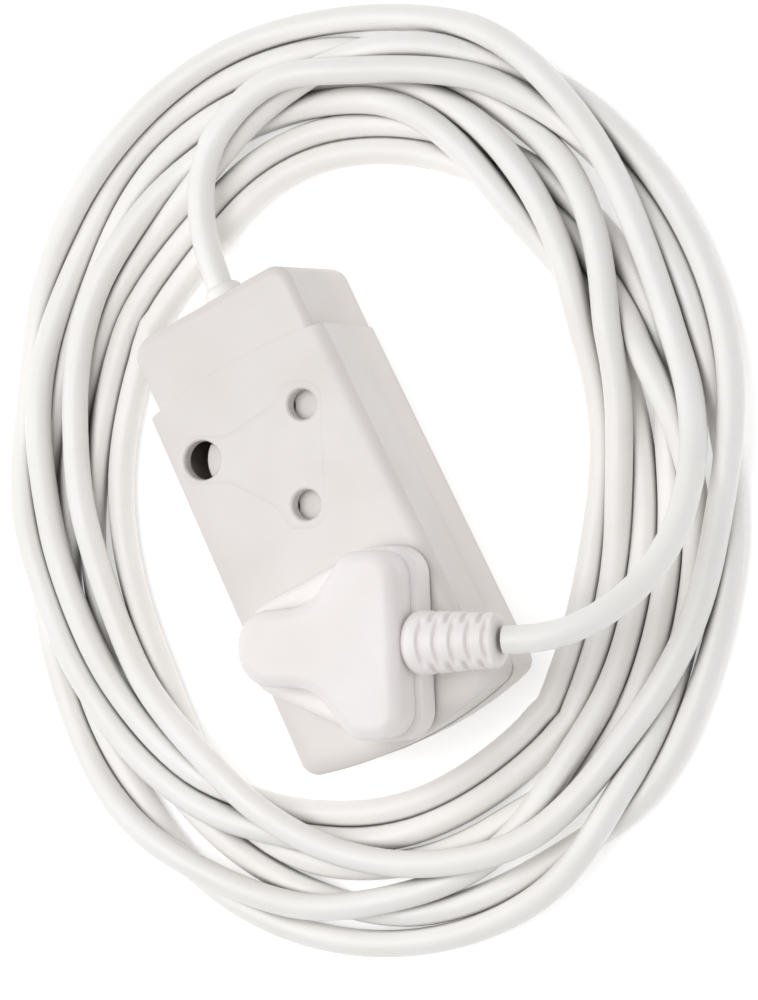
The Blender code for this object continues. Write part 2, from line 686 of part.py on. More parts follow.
PAD_OUTLINE = rounded([
    (-35.2, 6.6, 6.0), (-35.2, -6.6, 6.0), (-21.0, -6.6, 9.0), (-7.5, -14.0, 8.0), (-5.6, -19.2, 4.0),
    (5.8, -19.2, 5.0), (5.8, 19.2, 5.0), (-5.6, 19.2, 4.0), (-7.5, 14.0, 8.0), (-21.0, 6.6, 9.0),
])
PLUG_TOP_OUTLINE = rounded([
    (-34.0, 9.8, 9.0), (-34.0, -9.8, 9.0), (-13.0, -10.6, 10.0), (-2.5, -23.5, 6.0),
    (PLUG_FRONT, -23.5, 7.5), (PLUG_FRONT, 23.5, 7.5), (-2.5, 23.5, 6.0), (-13.0, 10.6, 10.0),
], 5)
PLUG_BASE_OUTLINE = rounded([
    (-35.0, 9.4, 8.0), (-35.0, -9.4, 8.0), (-1.5, -24.3, 8.0), (PLUG_FRONT, -24.3, 7.5),
    (PLUG_FRONT, 24.3, 7.5), (-1.5, 24.3, 8.0),
], 5)

clear_scene()
PARTS = new_collection(OBJECT_NAME)
CUTTERS = new_collection("cutters")
build_base()
build_cover()
build_cap()
build_grommet()
build_contacts()
build_shutter(0, 0.0)
build_shutter(1, SHUTTER_TRAVEL)
for socket_index in (0, 1):
    build_cage(socket_index)
build_spring(0, 0.0)
build_spring(1, SHUTTER_TRAVEL)
build_wires()
build_clamp()
build_housing_screws()
build_plug()
build_boot()
build_cord()
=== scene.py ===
"""Looks of the two-way socket coupler on its coiled extension cord.

Metres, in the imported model's own frame: +Y runs along the coupler toward the cord entry and +Z out of
the socket face. Sizes are written in millimetres and scaled by MM.
"""
import json
import math

import bmesh
import bpy
import numpy as np
from mathutils import Matrix, Vector


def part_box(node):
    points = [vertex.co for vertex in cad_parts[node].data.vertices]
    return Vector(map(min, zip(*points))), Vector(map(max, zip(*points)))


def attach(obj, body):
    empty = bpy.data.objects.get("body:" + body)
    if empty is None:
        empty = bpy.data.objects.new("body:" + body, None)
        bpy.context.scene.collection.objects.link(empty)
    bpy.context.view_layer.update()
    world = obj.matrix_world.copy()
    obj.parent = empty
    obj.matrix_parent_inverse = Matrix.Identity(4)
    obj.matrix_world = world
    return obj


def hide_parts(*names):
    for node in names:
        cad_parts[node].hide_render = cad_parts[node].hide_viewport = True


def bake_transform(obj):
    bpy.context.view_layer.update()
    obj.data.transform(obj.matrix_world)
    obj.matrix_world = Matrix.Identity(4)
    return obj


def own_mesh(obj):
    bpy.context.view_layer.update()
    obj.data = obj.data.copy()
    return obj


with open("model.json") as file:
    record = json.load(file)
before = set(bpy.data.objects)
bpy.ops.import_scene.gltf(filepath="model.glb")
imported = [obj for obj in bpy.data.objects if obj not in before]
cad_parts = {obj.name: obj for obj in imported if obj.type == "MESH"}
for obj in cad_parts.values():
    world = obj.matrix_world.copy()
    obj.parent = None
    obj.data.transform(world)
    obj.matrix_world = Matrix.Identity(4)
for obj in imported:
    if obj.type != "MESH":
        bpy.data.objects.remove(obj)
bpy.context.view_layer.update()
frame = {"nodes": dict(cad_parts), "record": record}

MM = 0.001
NODES = frame["nodes"]

# coupler housing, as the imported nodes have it
LOWER_HALF_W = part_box("socket_cover")[1][0] / MM
UPPER_HALF_W = 27.0
SEAM_Y = 40.3
APEX_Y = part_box("socket_cover")[0][1] / MM
CORNER_Y = APEX_Y + 4.2
CORNER_R = 3.6
END_DRAFT = 3.4
COVER_Z0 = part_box("socket_cover")[0][2] / MM
COVER_SKIRT = 0.27
FACE_Z = 34.0
WALL = 1.8
CAP_WALL = 2.0
FLOOR = 2.2
PLATE = 3.4
SHOULDER = (6.2, 3.6)
SEAM_BOW = 2.1
SEAM_ROUND = 0.9
PAD_LIFT = 0.3
PAD_PROFILE = ((-1.2, 0), (0, 0.1), (0.35 * PAD_LIFT, 0.5), (0.75 * PAD_LIFT, 1.1), (PAD_LIFT, 2.2))
CAP_TOP_HALF_W = 24.3
CAP_FOOT_HALF_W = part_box("cord_end_cap")[1][0] / MM
CAP_END_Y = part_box("cord_end_cap")[1][1] / MM
CAP_TOP_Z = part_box("cord_end_cap")[1][2] / MM
CAP_CORNER_R = 5.6
CAP_SHOULDER = (2.8, 2.6)
COLLAR_END_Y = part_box("cord_grommet")[1][1] / MM
COLLAR_R = (5.5, 5.1)
COLLAR_ROUND = 1.6
COLLAR_SIDES = 40
CORD_Z = 17.0

# sockets and plug
PIN_HALF_PITCH = 12.7
EARTH_REACH = 28.575
EARTH_ANGLE = math.atan2(PIN_HALF_PITCH, EARTH_REACH)
SOCKET_X = 8.3
SOCKET_Y = (12.3, -40.7)
POWER_HOLE_R = 3.85
EARTH_HOLE_R = 5.0
HOLE_LIP = 0.9
HOLE_DEPTH = 7.0
HOLE_SIDES = 48
RAMP_FRONT = -29.5
RAMP_BACK = -22.6
RAMP_HALF_W = 4.3
RAMP_Z = (22.0, 28.9)
RAMP_SLOPE = 0.29
RAMP_BOW = 1.1
SPRING_SPAN = (-21.88, -10.32)
SPRING_Z = 24.3
SPRING_R = 1.6
SPRING_WIRE_R = 0.22
SPRING_TURNS = 5
PLUG_SEAT_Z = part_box("plug_base")[0][2] / MM
PLUG_STEP_Z = 43.5
PLUG_TOP_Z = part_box("plug_cover")[1][2] / MM
PLUG_FRONT = 11.6
TOP_FRONT = 9.8
BOOT_Z = 45.4
BOOT_SPAN = (8.4, 33.9)
BOOT_R = (7.6, 6.7)
BOOT_ROOT = 5.2
BOOT_RIM = 0.8
BOOT_PITCH = 4.2
BOOT_SLOTS = 5
SLOT_DEPTH = 1.0
SLOT_HALF_W = 0.6
PAD_CORNERS = (
    (-35.2, 6.6, 6.0), (-35.2, -6.6, 6.0), (-21.0, -6.6, 9.0), (-7.5, -14.0, 8.0), (-5.6, -19.2, 4.0),
    (5.8, -19.2, 5.0), (5.8, 19.2, 5.0), (-5.6, 19.2, 4.0), (-7.5, 14.0, 8.0), (-21.0, 6.6, 9.0),
)
PLUG_TOP_CORNERS = (
    (-34.0, 9.4, 9.0), (-34.0, -9.4, 9.0), (-14.0, -10.2, 11.0), (-4.2, -23.3, 6.6),
    (TOP_FRONT, -23.3, 7.0), (TOP_FRONT, 23.3, 7.0), (-4.2, 23.3, 6.6), (-14.0, 10.2, 11.0),
)
PLUG_BASE_CORNERS = (
    (-35.0, 9.4, 8.0), (-35.0, -9.4, 8.0), (-1.5, -24.3, 8.0), (PLUG_FRONT, -24.3, 7.5),
    (PLUG_FRONT, 24.3, 7.5), (-1.5, 24.3, 8.0),
)

# the moulded plastics are a little warmer or paler than the slots' plain colours
WARMER = {
    "housing_white": (1.0, 0.968, 0.972), "shutter_white": (1.0, 0.968, 0.972),
    "plug_white": (1.1, 1.075, 1.07), "cord_white": (1.14, 1.13, 1.12),
}

# cord
CORD_D = 7.1
CORD_R = CORD_D / 2
STEP = 4.0
COIL_CENTRE = (12.3, 4.4)
COIL_SEMI = (83.6, 101.3)
COIL_TURN = math.radians(26.7)
FIRST_ANGLE = 370
LAST_ANGLE = 2950
STATION = 20
# each turn of the coil is the same oval, laid a little off the last: how much wider it is, how far
# it lies toward the oval's far end and toward its right side, and its height in the pile
TURNS = (
    (7, -4, 6, 0.5), (-8, -6, 5, 0), (4, -16, -3, 1), (4, 6, 8, 5.5), (2, -8, -15, 2.5),
    (-6, 6, -15, 3.5), (2, 10, -15, 4.5), (3, 14, -5, 7),
)
TURN_START = 310
TURN_BLEND = 0.4
LEAD_LEVEL = 6
LEAD_SINK = 12
LEAD_ROUTE = (
    (0.0, 50.0, 17.0), (0.0, 63.0, 17.0), (0.2, 74.0, 18.6), (2.6, 86.0, 21.0), (9.5, 96.5, 21.8),
    (19.0, 102.8, 20.6), (30.0, 106.0, 19.2), (42.0, 106.8, 18.6),
)
TAIL_ROUTE = (
    (40.2, -54.9, 45.4), (47.6, -58.0, 44.8), (55.4, -59.7, 42.6), (63.4, -59.4, 38.8),
    (71.1, -57.3, 34.2), (78.2, -53.5, 29.6), (84.3, -48.4, 25.4), (89.4, -42.3, 22.0),
    (93.6, -35.5, 19.6),
)
TAIL_JOIN = ((96.6, -28.2, 18.4), (98.8, -20.6, 18.0), (100.2, -12.8, 17.8))
TAIL_LENGTH = 70.0
STIFFNESS = 0.06
STIFF_PASSES = 14
SETTLE_ROUNDS = 600
SINK = 0.05
HOME_PULL = 0.01
PUSH = 1.3
HOUSING_BOX = (28.7, -65.6, 65.6, 34.0)

# camera
VIEW_TURN = math.radians(26.7)
VIEW_LEAN = math.radians(23.0)
VIEW_TARGET = (8.6, -0.75, 0)
VIEW_DISTANCE = 1.0
VIEW_LENS = 138.2

# stage: name, place, size and power of each light, and the white surroundings
LIGHTS = (
    ("overhead", (-0.15, 0.15, 1.3), 0.9, 8.6), ("window", (-1.1, 0.7, 0.9), 0.7, 4.5),
    ("fill", (1.1, -0.7, 0.6), 1.0, 1.6),
)
WORLD_STRENGTH = 0.38
FLOOR_GLOW = 0.4


# ---------------------------------------------------------------- camera and stage

def add_camera():
    """Looks down on the coupler from its right, with the coupler turned in the frame."""
    across = Vector((math.cos(VIEW_TURN), -math.sin(VIEW_TURN), 0))
    up = Vector((math.sin(VIEW_TURN), math.cos(VIEW_TURN), 0))
    back = across * math.sin(VIEW_LEAN) + Vector((0, 0, math.cos(VIEW_LEAN)))
    right = up.cross(back).normalized()
    target = Vector(VIEW_TARGET) * MM
    data = bpy.data.cameras.new("camera")
    data.lens = VIEW_LENS
    data.sensor_width = 36
    camera = bpy.data.objects.new("camera", data)
    bpy.context.scene.collection.objects.link(camera)
    rotation = Matrix((right, up, back)).transposed().to_4x4()
    camera.matrix_world = Matrix.Translation(target + back * VIEW_DISTANCE) @ rotation
    bpy.context.scene.camera = camera


# ---------------------------------------------------------------- cord

def smooth_route(points, spacing):
    """Points every `spacing` along a smooth curve through the given points."""
    pts = np.array(points, float)
    ends = np.vstack([2 * pts[0] - pts[1], pts, 2 * pts[-1] - pts[-2]])
    dense = []
    for i in range(1, len(ends) - 2):
        for t in np.linspace(0, 1, 24, endpoint=False):
            a, b, c, d = ends[i - 1:i + 3]
            dense.append(0.5 * (2 * b + (c - a) * t + (2 * a - 5 * b + 4 * c - d) * t * t
                                + (3 * b - a - 3 * c + d) * t ** 3))
    dense.append(pts[-1])
    dense = np.array(dense)
    along = np.concatenate([[0], np.cumsum(np.linalg.norm(np.diff(dense[:, :3], axis=0), axis=1))])
    marks = np.linspace(0, along[-1], max(2, int(round(along[-1] / spacing)) + 1))
    return np.stack([np.interp(marks, along, dense[:, k]) for k in range(dense.shape[1])], 1)


def oval_point(angle, offset):
    """X, Y at an angle clockwise from the far end of the oval, moved outward by offset."""
    t = math.radians(angle)
    a, b = COIL_SEMI
    along = Vector((a * math.cos(t), -b * math.sin(t))).normalized()
    x = a * math.sin(t) - offset * along.y
    y = b * math.cos(t) + offset * along.x
    c, s = math.cos(COIL_TURN), math.sin(COIL_TURN)
    return COIL_CENTRE[0] + x * c + y * s, COIL_CENTRE[1] - x * s + y * c


def turn_values(angle):
    """Width, far shift, side shift and height of the coil at an angle counted through all its turns."""
    place = (angle - TURN_START) / 360
    marks = []
    rows = []
    for turn, row in enumerate(TURNS):
        marks += [turn + TURN_BLEND / 2, turn + 1 - TURN_BLEND / 2]
        rows += [row, row]
    return [np.interp(place, marks, column) for column in zip(*rows)]


def coil_route():
    """x, y, rough height of the turns, one after another."""
    route = []
    for angle in range(FIRST_ANGLE, LAST_ANGLE + 1, STATION):
        wider, far, side, level = turn_values(angle)
        level = max(level, LEAD_LEVEL - (angle - FIRST_ANGLE) / LEAD_SINK)
        t = math.radians(angle)
        x, y = oval_point(angle, wider + far * math.cos(t) + side * math.sin(t))
        route.append((x, y, CORD_R + CORD_R * level))
    return route


def near_pairs(points, reach):
    """Pairs of cord points within reach of each other that aren't on the same short stretch."""
    apart = 8
    first = []
    second = []
    for i in range(len(points) - apart):
        gap = points[i + apart:] - points[i]
        close = np.nonzero((gap * gap).sum(1) < reach * reach)[0]
        first.append(np.full(len(close), i))
        second.append(close + i + apart)
    return np.concatenate(first), np.concatenate(second)


def push_apart(points, first, second):
    """Moves paired points that lie closer than the cord's width away from each other."""
    gap = points[second] - points[first]
    distance = np.linalg.norm(gap, axis=1)
    hit = distance < CORD_D
    short = (CORD_D - distance[hit]) / 2 / np.maximum(distance[hit], 1e-6)
    push = gap[hit] * short[:, None]
    total = np.zeros_like(points)
    count = np.zeros(len(points))
    for side, sign in ((second, 1), (first, -1)):
        np.add.at(total, side[hit], sign * push)
        np.add.at(count, side[hit], 1)
    points += PUSH * total / np.maximum(count, 1)[:, None]


def keep_off_housing(points):
    """Moves points that are inside the coupler's box, grown by the cord's radius, to its side."""
    half, low, high, top = HOUSING_BOX
    reach = CORD_R + 0.2
    side = half + reach - np.abs(points[:, 0])
    bottom = points[:, 1] - (low - reach)
    far = high + reach - points[:, 1]
    inside = (side > 0) & (bottom > 0) & (far > 0) & (points[:, 2] < top + reach)
    nearest = np.minimum(side, np.minimum(bottom, far))
    points[:, 0] += np.where(inside & (side == nearest), np.sign(points[:, 0]) * side, 0)
    points[:, 1] -= np.where(inside & (bottom == nearest), bottom, 0)
    points[:, 1] += np.where(inside & (far == nearest), far, 0)


def stiffen(points):
    """Spreads a sharp bend over the points on both sides of it."""
    for _ in range(STIFF_PASSES):
        bend = points[:-2] - 2 * points[1:-1] + points[2:]
        points[2:-2] -= STIFFNESS * (bend[:-2] - 2 * bend[1:-1] + bend[2:])


def settle(points, held):
    """Lets the turns sink onto the floor and onto each other, as stiff round cord does."""
    home = points.copy()
    for k in range(SETTLE_ROUNDS):
        if k % 10 == 0:
            first, second = near_pairs(points, CORD_D * 1.35)
        moved = points - home
        points[1:-1, :2] += 0.5 * (0.5 * (moved[:-2, :2] + moved[2:, :2]) - moved[1:-1, :2])
        level = points[:, 2].copy()
        points[1:-1, 2] += 0.5 * (0.5 * (level[:-2] + level[2:]) - level[1:-1])
        points[:, 2] -= SINK
        points[:, :2] += HOME_PULL * (home[:, :2] - points[:, :2])
        stiffen(points)
        for _ in range(2):
            push_apart(points, first, second)
            points[:, 2] = np.maximum(points[:, 2], CORD_R)
            keep_off_housing(points)
        points[held] = home[held]
    return points


def cord_points():
    route = list(LEAD_ROUTE) + coil_route() + list(reversed(TAIL_ROUTE + TAIL_JOIN))
    points = smooth_route(route, STEP)
    held = np.zeros(len(points), bool)
    held[:5] = True
    held[-int(TAIL_LENGTH / STEP):] = True
    return settle(points, held)


def tube_curve(name, points, radius, first_scale=1.0):
    """Round tube along the points; first_scale narrows its first end."""
    curve = bpy.data.curves.new(name, "CURVE")
    curve.dimensions = "3D"
    curve.bevel_depth = radius * MM
    curve.bevel_resolution = 5
    curve.use_fill_caps = True
    spline = curve.splines.new("POLY")
    spline.points.add(len(points) - 1)
    for point, co in zip(spline.points, points):
        point.co = (co[0] * MM, co[1] * MM, co[2] * MM, 1.0)
    spline.points[0].radius = first_scale
    spline.use_smooth = True
    obj = bpy.data.objects.new(name, curve)
    bpy.context.scene.collection.objects.link(obj)
    return obj


def curve_to_mesh(obj):
    name = obj.name
    depsgraph = bpy.context.evaluated_depsgraph_get()
    mesh = bpy.data.meshes.new_from_object(obj.evaluated_get(depsgraph))
    bpy.data.objects.remove(obj, do_unlink=True)
    made = bpy.data.objects.new(name, mesh)
    bpy.context.scene.collection.objects.link(made)
    return made


def add_cords(plug_pieces):
    """The cord from the coupler through its turns, and its last stretch up to the plug."""
    points = cord_points()
    split = len(points) - 1 - int(round(TAIL_LENGTH / STEP))
    main = tube_curve("mains_cord", points[:split + 1], CORD_R)
    main.data.materials.append(MATERIALS["cord_white"])
    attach(main, "coupler")
    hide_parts("cord_lead", "cord_coil")

    tail = curve_to_mesh(tube_curve("mains_cord_tail", points[split - 1:], CORD_R, 0.985))
    tail.data.materials.append(MATERIALS["cord_white"])
    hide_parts("cord_tail")
    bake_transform(tail)


# ---------------------------------------------------------------- materials

def node(tree, kind, **values):
    made = tree.nodes.new(kind)
    for key, value in values.items():
        socket = made.inputs.get(key.replace("_", " ")) if key[0].isupper() else None
        if socket is not None:
            socket.default_value = value
        else:
            setattr(made, key, value)
    return made


def noise(tree, coords, scale, detail=4.0):
    made = node(tree, "ShaderNodeTexNoise", Scale=scale, Detail=detail)
    tree.links.new(coords, made.inputs["Vector"])
    return made.outputs["Fac"]


def spread(tree, value, low, high, start=0.3, end=0.7):
    """Maps a noise value between start and end to the range low to high."""
    made = node(tree, "ShaderNodeMapRange", From_Min=start, From_Max=end, To_Min=low, To_Max=high)
    tree.links.new(value, made.inputs["Value"])
    return made.outputs["Result"]


def shift_color(color, factor):
    return tuple(min(1.0, c * f) for c, f in zip(color, factor)) + (1.0,)


def surface(name, color, roughness, grain=900.0, depth=0.00002, tint=(0.955, 0.95, 0.93), metallic=0.0,
            rough_spread=0.07, soft=0.0, edges=0.10, painted_shade=0.5, shade_color=(0.42, 0.4, 0.38), shade_free_at=0.72):
    """Material with a fine grain, cloudy colour and roughness, paler edges and painted shade in crevices.
    """
    mat = bpy.data.materials.new(name)
    mat.use_nodes = True
    tree = mat.node_tree
    shader = tree.nodes["Principled BSDF"]
    coords = node(tree, "ShaderNodeTexCoord").outputs["Object"]
    cloud = noise(tree, coords, 38.0, 5.0)
    mix = node(tree, "ShaderNodeMix", data_type="RGBA")
    tree.links.new(spread(tree, cloud, 0.0, 1.0, 0.35, 0.68), mix.inputs[0])
    mix.inputs[6].default_value = (*color, 1.0)
    mix.inputs[7].default_value = shift_color(color, tint)
    # paler colour on convex edges, found by pointiness
    paler_edge_mix = node(tree, "ShaderNodeMix", data_type="RGBA")
    point = node(tree, "ShaderNodeNewGeometry").outputs["Pointiness"]
    tree.links.new(spread(tree, point, 0.0, edges, 0.52, 0.6), paler_edge_mix.inputs[0])
    tree.links.new(mix.outputs[2], paler_edge_mix.inputs[6])
    paler_edge_mix.inputs[7].default_value = shift_color(color, (1.12, 1.12, 1.12))
    # painted shade: the colour is darkened toward a shade colour in crevices and gaps between parts,
    # where ambient occlusion finds nearby surfaces
    shade_mix = node(tree, "ShaderNodeMix", data_type="RGBA")
    crevice_ao = node(tree, "ShaderNodeAmbientOcclusion", samples=4, Distance=0.0045)
    tree.links.new(spread(tree, crevice_ao.outputs["AO"], painted_shade, 0.0, 0.1, shade_free_at), shade_mix.inputs[0])
    tree.links.new(paler_edge_mix.outputs[2], shade_mix.inputs[6])
    shade_mix.inputs[7].default_value = shift_color(color, shade_color)
    tree.links.new(shade_mix.outputs[2], shader.inputs["Base Color"])
    smear = noise(tree, coords, 95.0, 6.0)
    rough = spread(tree, smear, roughness - rough_spread, roughness + rough_spread)
    tree.links.new(rough, shader.inputs["Roughness"])
    fine = noise(tree, coords, grain, 3.0)
    low = noise(tree, coords, 60.0, 2.0)
    blend = node(tree, "ShaderNodeMath", operation="MULTIPLY_ADD")
    tree.links.new(low, blend.inputs[0])
    blend.inputs[1].default_value = 3.0
    tree.links.new(fine, blend.inputs[2])
    bump = node(tree, "ShaderNodeBump", Strength=0.6, Distance=depth)
    tree.links.new(blend.outputs[0], bump.inputs["Height"])
    tree.links.new(bump.outputs["Normal"], shader.inputs["Normal"])
    shader.inputs["Metallic"].default_value = metallic
    shader.inputs["Subsurface Weight"].default_value = soft
    shader.inputs["Subsurface Radius"].default_value = (0.003, 0.0028, 0.0025)
    shader.inputs["Subsurface Scale"].default_value = 1.0
    return mat


def brushed(name, color, roughness, axis_scale):
    """Metal drawn along one direction, with dull patches."""
    # the metals get a little painted shade in their crevices too
    mat = surface(name, color, roughness, 1400.0, 0.000012, (0.9, 0.88, 0.84), 1.0, 0.1, painted_shade=0.1)
    tree = mat.node_tree
    coords = node(tree, "ShaderNodeTexCoord").outputs["Object"]
    stretch = node(tree, "ShaderNodeMapping")
    stretch.inputs["Scale"].default_value = axis_scale
    tree.links.new(coords, stretch.inputs["Vector"])
    lines = noise(tree, stretch.outputs["Vector"], 500.0, 3.0)
    shader = tree.nodes["Principled BSDF"]
    tree.links.new(spread(tree, lines, roughness - 0.1, roughness + 0.16), shader.inputs["Roughness"])
    return mat


def add_stripe(mat, color, stripe):
    """Second colour wound round an insulated wire as a stripe."""
    tree = mat.node_tree
    shader = tree.nodes["Principled BSDF"]
    coords = node(tree, "ShaderNodeTexCoord").outputs["Object"]
    wave = node(tree, "ShaderNodeTexWave", Scale=60.0, Distortion=0.6)
    tree.links.new(coords, wave.inputs["Vector"])
    mix = node(tree, "ShaderNodeMix", data_type="RGBA")
    tree.links.new(spread(tree, wave.outputs["Fac"], 0.0, 1.0, 0.46, 0.54), mix.inputs[0])
    mix.inputs[6].default_value = (*color, 1.0)
    mix.inputs[7].default_value = (*stripe, 1.0)
    tree.links.new(mix.outputs[2], shader.inputs["Base Color"])


def make_materials():
    color = {entry["slot"]: entry["base_color"][:3] for entry in frame["record"]["materials"]}
    for slot, factor in WARMER.items():
        color[slot] = tuple(c * f for c, f in zip(color[slot], factor))
    # each plastic gets painted shade in its crevices; the cord's is the darkest, painting the gaps
    # between its turns dark
    made = {
        "housing_white": surface("housing_white", color["housing_white"], 0.4, 1100.0, 0.000012,
                                 painted_shade=0.3),
        "shutter_white": surface("shutter_white", color["shutter_white"], 0.48, 900.0, 0.000015,
                                 painted_shade=0.3),
        "plug_white": surface("plug_white", color["plug_white"], 0.46, 800.0, 0.00002, soft=0.04,
                              painted_shade=0.25),
        "cord_white": surface("cord_white", color["cord_white"], 0.42, 600.0, 0.00003,
                              (0.96, 0.955, 0.94), soft=0.04, painted_shade=0.95, shade_color=(0.2, 0.19, 0.18),
                              shade_free_at=0.55),
        "contact_brass": brushed("contact_brass", color["contact_brass"], 0.28, (1.0, 0.05, 1.0)),
        "screw_steel": brushed("screw_steel", color["screw_steel"], 0.32, (1.0, 1.0, 0.1)),
    }
    for slot in ("live_brown", "neutral_blue", "earth_green"):
        made[slot] = surface(slot, color[slot], 0.45, 700.0, 0.00002, (0.85, 0.85, 0.85))
    add_stripe(made["earth_green"], color["earth_green"], (0.75, 0.62, 0.06))
    return made


MATERIALS = make_materials()


def dress_nodes():
    slots = {part["node"]: part["material_slot"] for part in frame["record"]["subparts"]}
    for name, obj in NODES.items():
        obj.data.materials.clear()
        obj.data.materials.append(MATERIALS[slots[name]])


# ---------------------------------------------------------------- mesh helpers

def mesh_object(name, bm, slot=None):
    mesh = bpy.data.meshes.new(name)
    bmesh.ops.recalc_face_normals(bm, faces=bm.faces)
    bm.to_mesh(mesh)
    bm.free()
    obj = bpy.data.objects.new(name, mesh)
    bpy.context.scene.collection.objects.link(obj)
    if slot:
        obj.data.materials.append(MATERIALS[slot])
    return obj


def circle(radius, sides):
    """Points round a circle at the origin."""
    return [(radius * math.cos(math.tau * k / sides), radius * math.sin(math.tau * k / sides))
            for k in range(sides)]


def loft(name, rings, slot=None):
    """Closed skin over rings of (x, y, z) in millimetres, each with the same number of points."""
    bm = bmesh.new()
    loops = [[bm.verts.new([c * MM for c in co]) for co in ring] for ring in rings]
    for lower, upper in zip(loops, loops[1:]):
        count = len(lower)
        for i in range(count):
            j = (i + 1) % count
            bm.faces.new((lower[i], lower[j], upper[j], upper[i]))
    bm.faces.new(list(reversed(loops[0])))
    bm.faces.new(loops[-1])
    return mesh_object(name, bm, slot)


def apply_modifier(obj, kind, **values):
    modifier = obj.modifiers.new(kind.lower(), kind)
    for key, value in values.items():
        setattr(modifier, key, value)
    depsgraph = bpy.context.evaluated_depsgraph_get()
    mesh = bpy.data.meshes.new_from_object(obj.evaluated_get(depsgraph))
    old = obj.data
    obj.modifiers.clear()
    obj.data = mesh
    bpy.data.meshes.remove(old)


def boolean(obj, tool, operation="DIFFERENCE"):
    apply_modifier(obj, "BOOLEAN", object=tool, operation=operation, solver="EXACT")
    bpy.data.objects.remove(tool, do_unlink=True)


def block(name, low, high):
    bm = bmesh.new()
    size = [(h - l) * MM for l, h in zip(low, high)]
    middle = [(h + l) / 2 * MM for l, h in zip(low, high)]
    bmesh.ops.create_cube(bm, size=1.0, matrix=Matrix.Translation(middle) @ Matrix.Diagonal((*size, 1.0)))
    return mesh_object(name, bm)


def smooth(obj, degrees=38):
    obj.data.shade_smooth()
    obj.data.set_sharp_from_angle(angle=math.radians(degrees))
    apply_modifier(obj, "WEIGHTED_NORMAL", keep_sharp=True, weight=90)


def ring_outline(corners, inset, steps=8):
    """Points of a rounded outline, (x, y, radius) corners counter-clockwise, moved inward by inset."""
    count = len(corners)
    spots = [Vector(c[:2]) for c in corners]
    path = []
    for i, (x, y, radius) in enumerate(corners):
        into = (spots[i] - spots[i - 1]).normalized()
        away = (spots[(i + 1) % count] - spots[i]).normalized()
        bend = into.x * away.y - into.y * away.x
        side = Vector((-into.y, into.x)) + Vector((-away.y, away.x))
        corner = spots[i] + side * (inset / (1 + into.dot(away)))
        turn = math.acos(max(-1.0, min(1.0, into.dot(away))))
        radius = max(radius - inset, 0.4) if bend > 0 else radius + inset
        back = radius * math.tan(turn / 2)
        start = corner - into * back
        sign = 1 if bend > 0 else -1
        centre = start + Vector((-into.y, into.x)) * radius * sign
        for k in range(steps + 1):
            angle = sign * turn * k / steps
            arm = Matrix.Rotation(angle, 2) @ (start - centre)
            path.append(tuple(centre + arm))
    return path


def dome_rings(outline, z_low, z_top, inset, drop, foot=0.0, steps=9, crispness=2.0):
    """Rings up a wall and over a curved shoulder, an ellipse at crispness 2; foot rounds the low edge."""
    rings = []
    for k in range(4 if foot else 0):
        angle = math.pi / 2 * k / 4
        z = z_low + foot * (1 - math.cos(angle))
        rings.append([(x, y, z) for x, y in outline(foot * (1 - math.sin(angle)))])
    rings.append([(x, y, z_low + foot) for x, y in outline(0)])
    for k in range(1, steps + 1):
        angle = math.pi / 2 * k / steps
        z = z_top - drop + drop * math.sin(angle) ** (2 / crispness)
        rings.append([(x, y, z) for x, y in outline(inset * (1 - math.cos(angle) ** (2 / crispness)))])
    return rings


# ---------------------------------------------------------------- housing

def body_outline(inset):
    """Plan of the housing: sides that widen downward, a bowed lower end and rounded corners."""
    half = LOWER_HALF_W - inset
    top_half = UPPER_HALF_W - inset
    top = SEAM_Y + 8
    radius = max(CORNER_R - inset, 1.2)
    low = CORNER_Y + inset
    path = []
    for side, first in ((-1, 180), (1, 270)):
        for k in range(13):
            angle = math.radians(first + 90 * k / 12)
            centre = side * (half - radius)
            path.append((centre + radius * math.cos(angle), low + radius + radius * math.sin(angle)))
        if side < 0:
            flat = half - radius
            path += [(flat * (2 * k / 24 - 1), low) for k in range(1, 24)]
    sag = CORNER_Y - APEX_Y
    bowed = [(x, y - sag * (1 - (x / half) ** 2)) for x, y in path]
    return [(top_half, top), (-top_half, top)] + bowed


def draft(rings):
    """Leans the lower end wall inward toward the floor."""
    return [[(x, y + END_DRAFT * (FACE_Z - z) / FACE_Z, z) for x, y, z in ring] for ring in rings]


def socket_place(socket, a, b):
    """World x, y of a point a along the cord direction and b along the small pins."""
    c, s = math.cos(EARTH_ANGLE), math.sin(EARTH_ANGLE)
    return SOCKET_X + a * c + b * s, SOCKET_Y[socket] - a * s + b * c


def placed_outline(corners, socket, inset):
    return [socket_place(socket, a, b) for a, b in ring_outline(corners, inset)]


def flared_hole(x, y, radius, depth):
    """Cutter for a round hole with a softly rounded mouth at the pad's face."""
    reach = radius + HOLE_LIP
    top = FACE_Z + PAD_LIFT
    profile = [(reach + 1.0, top + 2.0), (reach, top + 0.02)]
    for k in range(1, 7):
        angle = math.pi / 2 * k / 6
        profile.append((reach - HOLE_LIP * math.sin(angle), top - HOLE_LIP * (1 - math.cos(angle))))
    profile.append((radius, top - depth))
    return loft("hole", [[(x + a, y + b, z) for a, b in circle(r, HOLE_SIDES)] for r, z in profile])


def seam_y(x):
    """The cover's upper end bows a little toward the cord entry."""
    return SEAM_Y + SEAM_BOW * max(0.0, 1 - (x / UPPER_HALF_W) ** 2)


def seam_cutter(far_y):
    """Everything between the bowed seam and far_y."""
    spots = [40 - 80 * k / 40 for k in range(41)]
    line = [(x, seam_y(x)) for x in spots] + [(x, far_y) for x in reversed(spots)]
    if far_y < SEAM_Y:
        line.reverse()
    return loft("past_seam", [[(x, y, z) for x, y in line] for z in (-5, FACE_Z + 5)])


